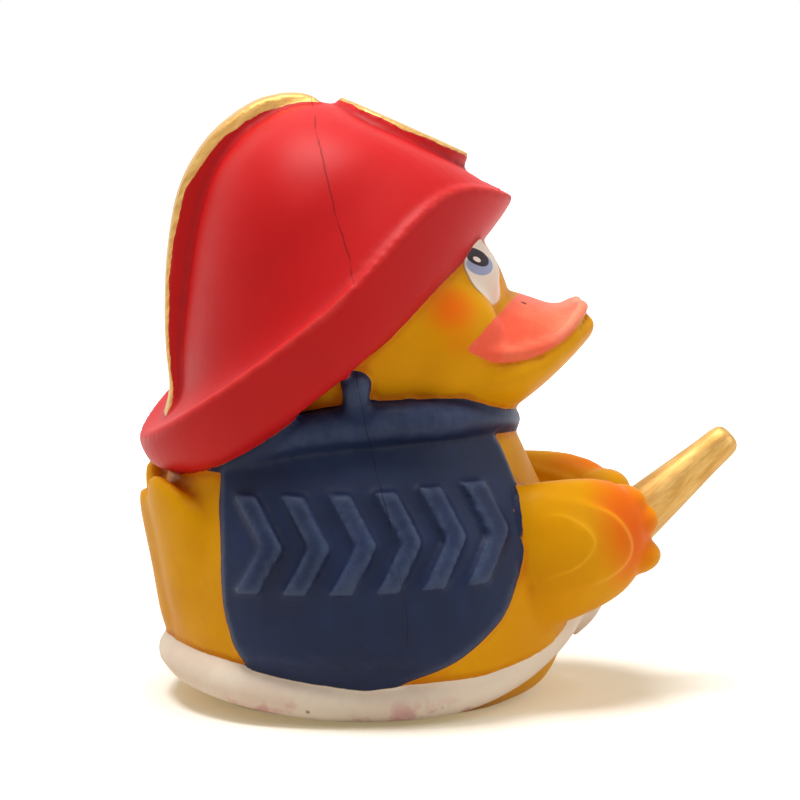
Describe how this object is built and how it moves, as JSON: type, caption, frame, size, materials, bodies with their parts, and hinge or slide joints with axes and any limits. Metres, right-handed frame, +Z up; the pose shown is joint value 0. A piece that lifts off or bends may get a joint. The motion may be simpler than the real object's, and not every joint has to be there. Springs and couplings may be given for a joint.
{
  "type": "rubber duck",
  "caption": "Hollow moulded rubber duck in a firefighter's helmet and vest, holding a nozzle in both wings, with a hose wrapped round its base.",
  "frame": {"origin": "middle of the flat face that the duck stands on", "axes": "+Z up; the duck faces -Y; X runs across it, and X = 0 is its middle plane"},
  "size_m": [0.0644, 0.0857, 0.0854],
  "materials": {
    "latex": "satin painted latex"
  },
  "bodies": {
    "root": {"rubber_duck": "latex"}
  },
  "joints": []
}
